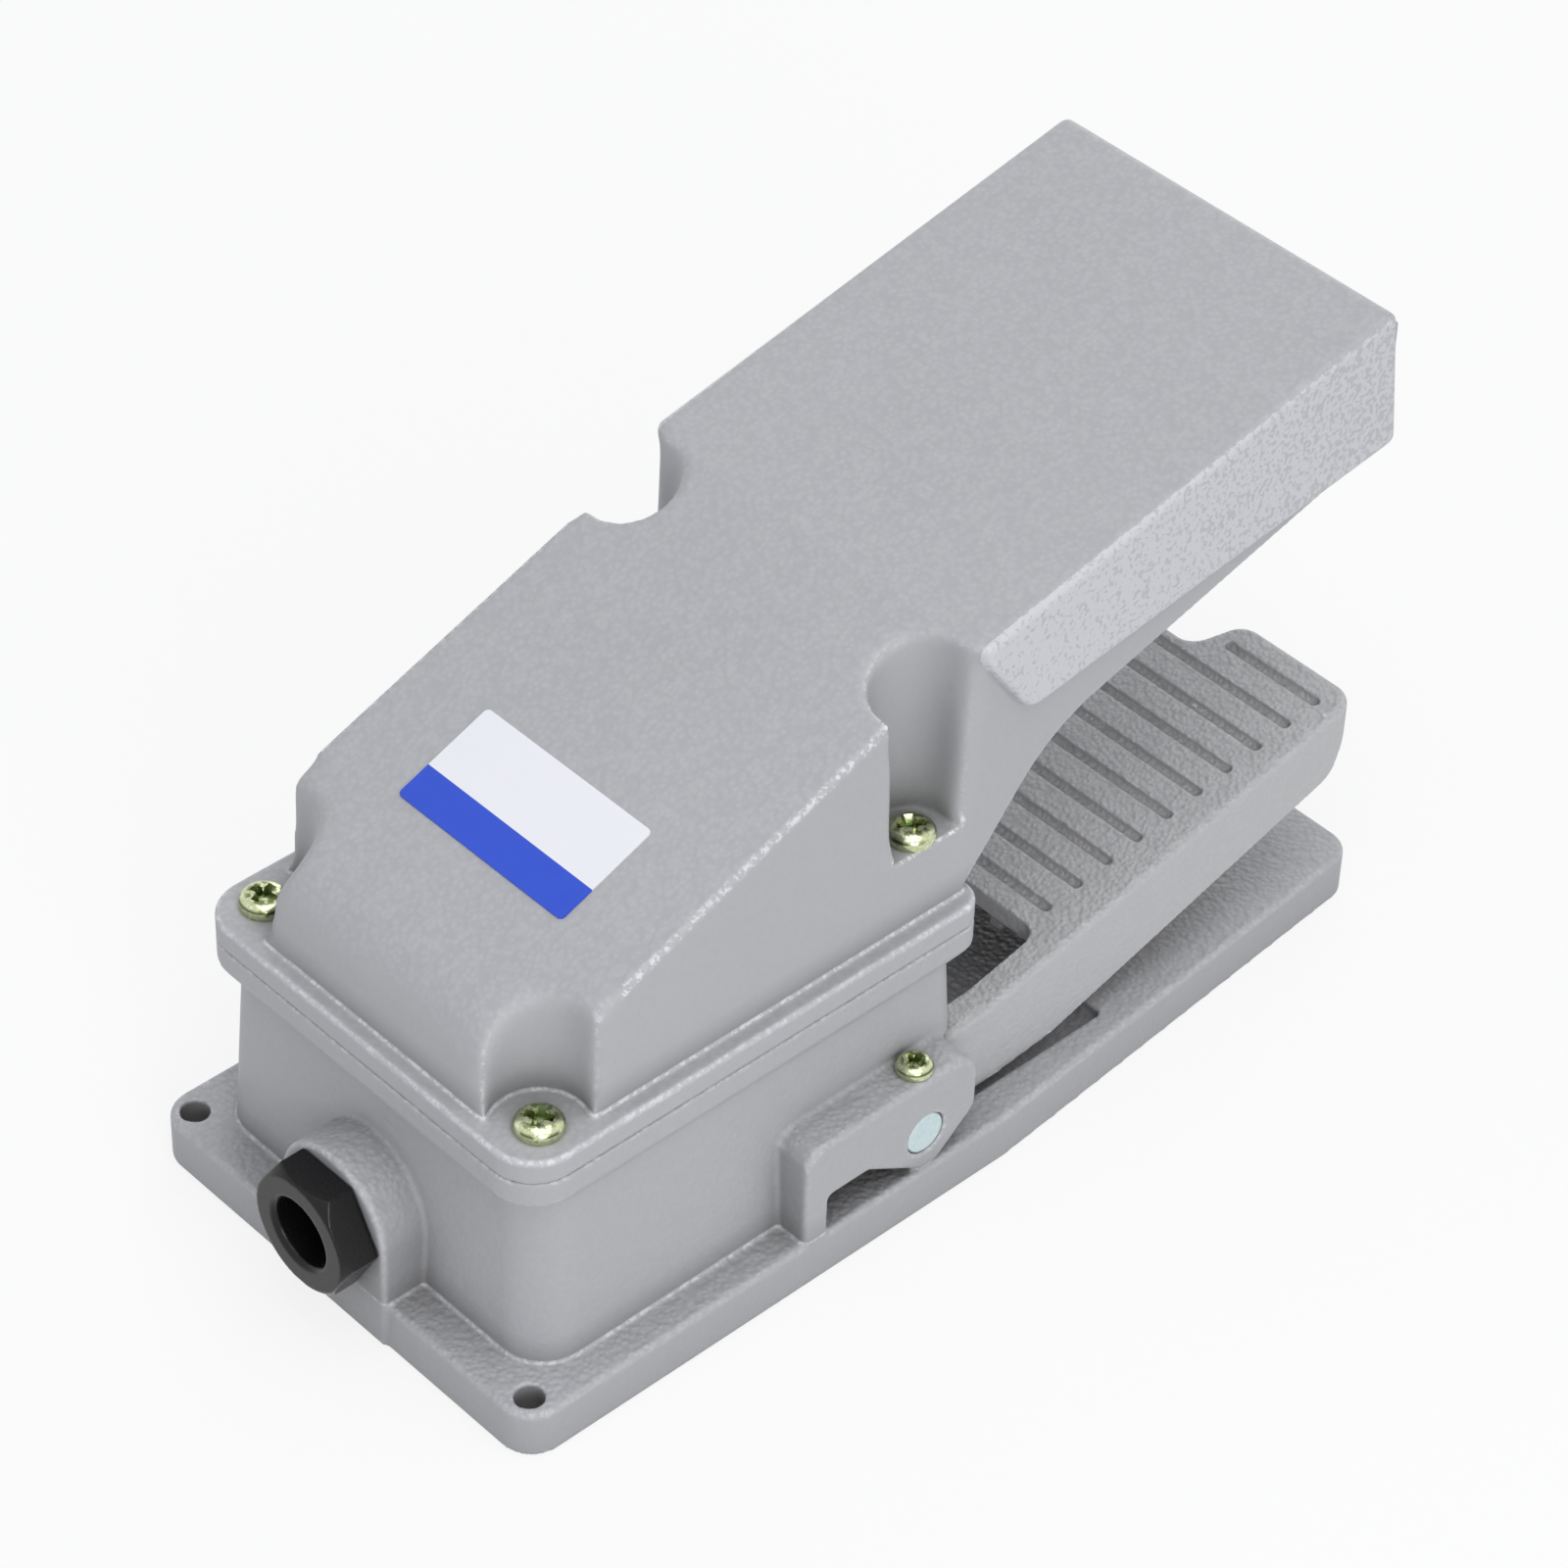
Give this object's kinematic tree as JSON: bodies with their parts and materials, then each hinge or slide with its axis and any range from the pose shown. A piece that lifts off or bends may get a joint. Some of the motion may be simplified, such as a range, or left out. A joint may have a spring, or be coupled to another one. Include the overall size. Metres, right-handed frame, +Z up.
{
  "type": "industrial foot switch",
  "caption": "Cast foot switch: base plate with switch box, sloping cover with foot guard, sprung grooved pedal on side pivots, and a cable gland at the rear.",
  "frame": {"origin": "middle of the bounding box on the floor, under the base plate", "axes": "+Z up, the toe side at -Y, the cable gland at +Y, +X to the right when seen from the toe side"},
  "size_m": [0.1026, 0.224, 0.1368],
  "materials": {
    "grey_paint": "light grey paint with a fine pebble texture",
    "yellow_zinc": "zinc plated, yellow passivated",
    "blue_zinc": "zinc plated, clear passivated",
    "black_nylon": "moulded black nylon",
    "label_film": "white and blue printed film, bare",
    "strip_steel": "bright zinc plated strip",
    "spring_steel": "drawn spring wire",
    "dark_rubber": "matt moulded rubber",
    "switch_moulding": "dark moulding compound",
    "plunger_moulding": "red moulding compound",
    "contact_brass": "rolled brass strip",
    "small_screw_steel": "zinc plated"
  },
  "bodies": {
    "housing": {"base_housing": "grey_paint", "cover": "grey_paint", "rear_cover_screws": "yellow_zinc", "front_cover_screws": "yellow_zinc", "pin_set_screws": "yellow_zinc", "bracket_screws": "yellow_zinc", "earth_terminal": "yellow_zinc", "pivot_pin_left": "blue_zinc", "pivot_pin_right": "blue_zinc", "gland_nut": "black_nylon", "label_plate": "label_film", "switch_bracket": "strip_steel", "gland_washer": "strip_steel", "return_spring": "spring_steel", "plunger_spring": "spring_steel", "cover_gasket": "dark_rubber", "gland_grommet": "dark_rubber", "rest_buffer": "dark_rubber", "block_body": "switch_moulding", "block_lid": "switch_moulding", "lower_contacts": "contact_brass", "upper_contacts": "contact_brass", "block_screws": "small_screw_steel", "block_lid_screws": "small_screw_steel", "terminal_screws": "small_screw_steel"},
    "pedal": {"pedal": "grey_paint", "trip_lever": "strip_steel", "lever_screws": "yellow_zinc"},
    "plunger": {"plunger": "plunger_moulding", "contact_bridge": "contact_brass", "bridge_spring": "spring_steel"}
  },
  "joints": [
    {"name": "pedal_hinge", "type": "hinge", "parent": "housing", "child": "pedal", "pos_m": [0, 0.0109, 0.019], "axis": [1, 0, 0], "range_deg": [0, 5.5], "stiffness_Nm_per_rad": 12, "springref_deg": -6.88, "deforming": ["return_spring"]},
    {"name": "plunger_slide", "type": "slide", "parent": "housing", "child": "plunger", "axis": [0, 0, 1], "range_m": [0, 0.0031], "deforming": ["plunger_spring"]}
  ],
  "couplings": [
    {"joint": "plunger_slide", "follows": "pedal_hinge", "m_per_rad": 0.032}
  ]
}
